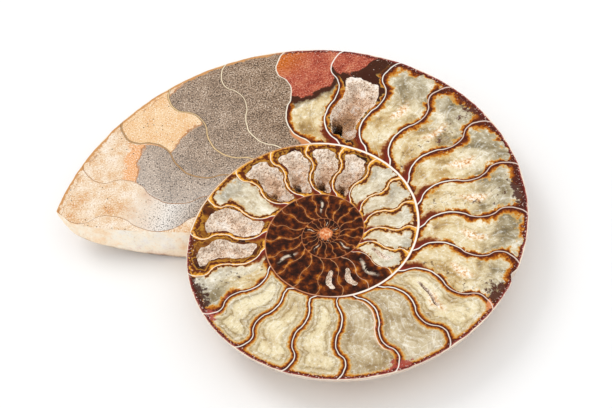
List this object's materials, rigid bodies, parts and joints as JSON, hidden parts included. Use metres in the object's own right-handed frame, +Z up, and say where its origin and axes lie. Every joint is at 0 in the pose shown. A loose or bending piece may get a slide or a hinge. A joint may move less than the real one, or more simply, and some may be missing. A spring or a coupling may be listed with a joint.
{
  "type": "ammonite fossil half",
  "caption": "Polished half of a coiled fossil shell: flat cut face with sinuous chamber walls and hollow crystal-lined chambers, rounded flank with umbilicus below, broken outer end.",
  "frame": {"origin": "bottom centre of the half as it lies on its rounded flank", "axes": "+Z up, the outward normal of the level polished face; +X along the longest side, away from the broken end; +Y across, away from the viewer of the broken end"},
  "size_m": [0.1186, 0.1042, 0.012],
  "materials": {
    "fossil_stone": "polished calcite face, natural shell and stone elsewhere"
  },
  "bodies": {
    "root": {"ammonite_half": "fossil_stone"}
  },
  "joints": []
}
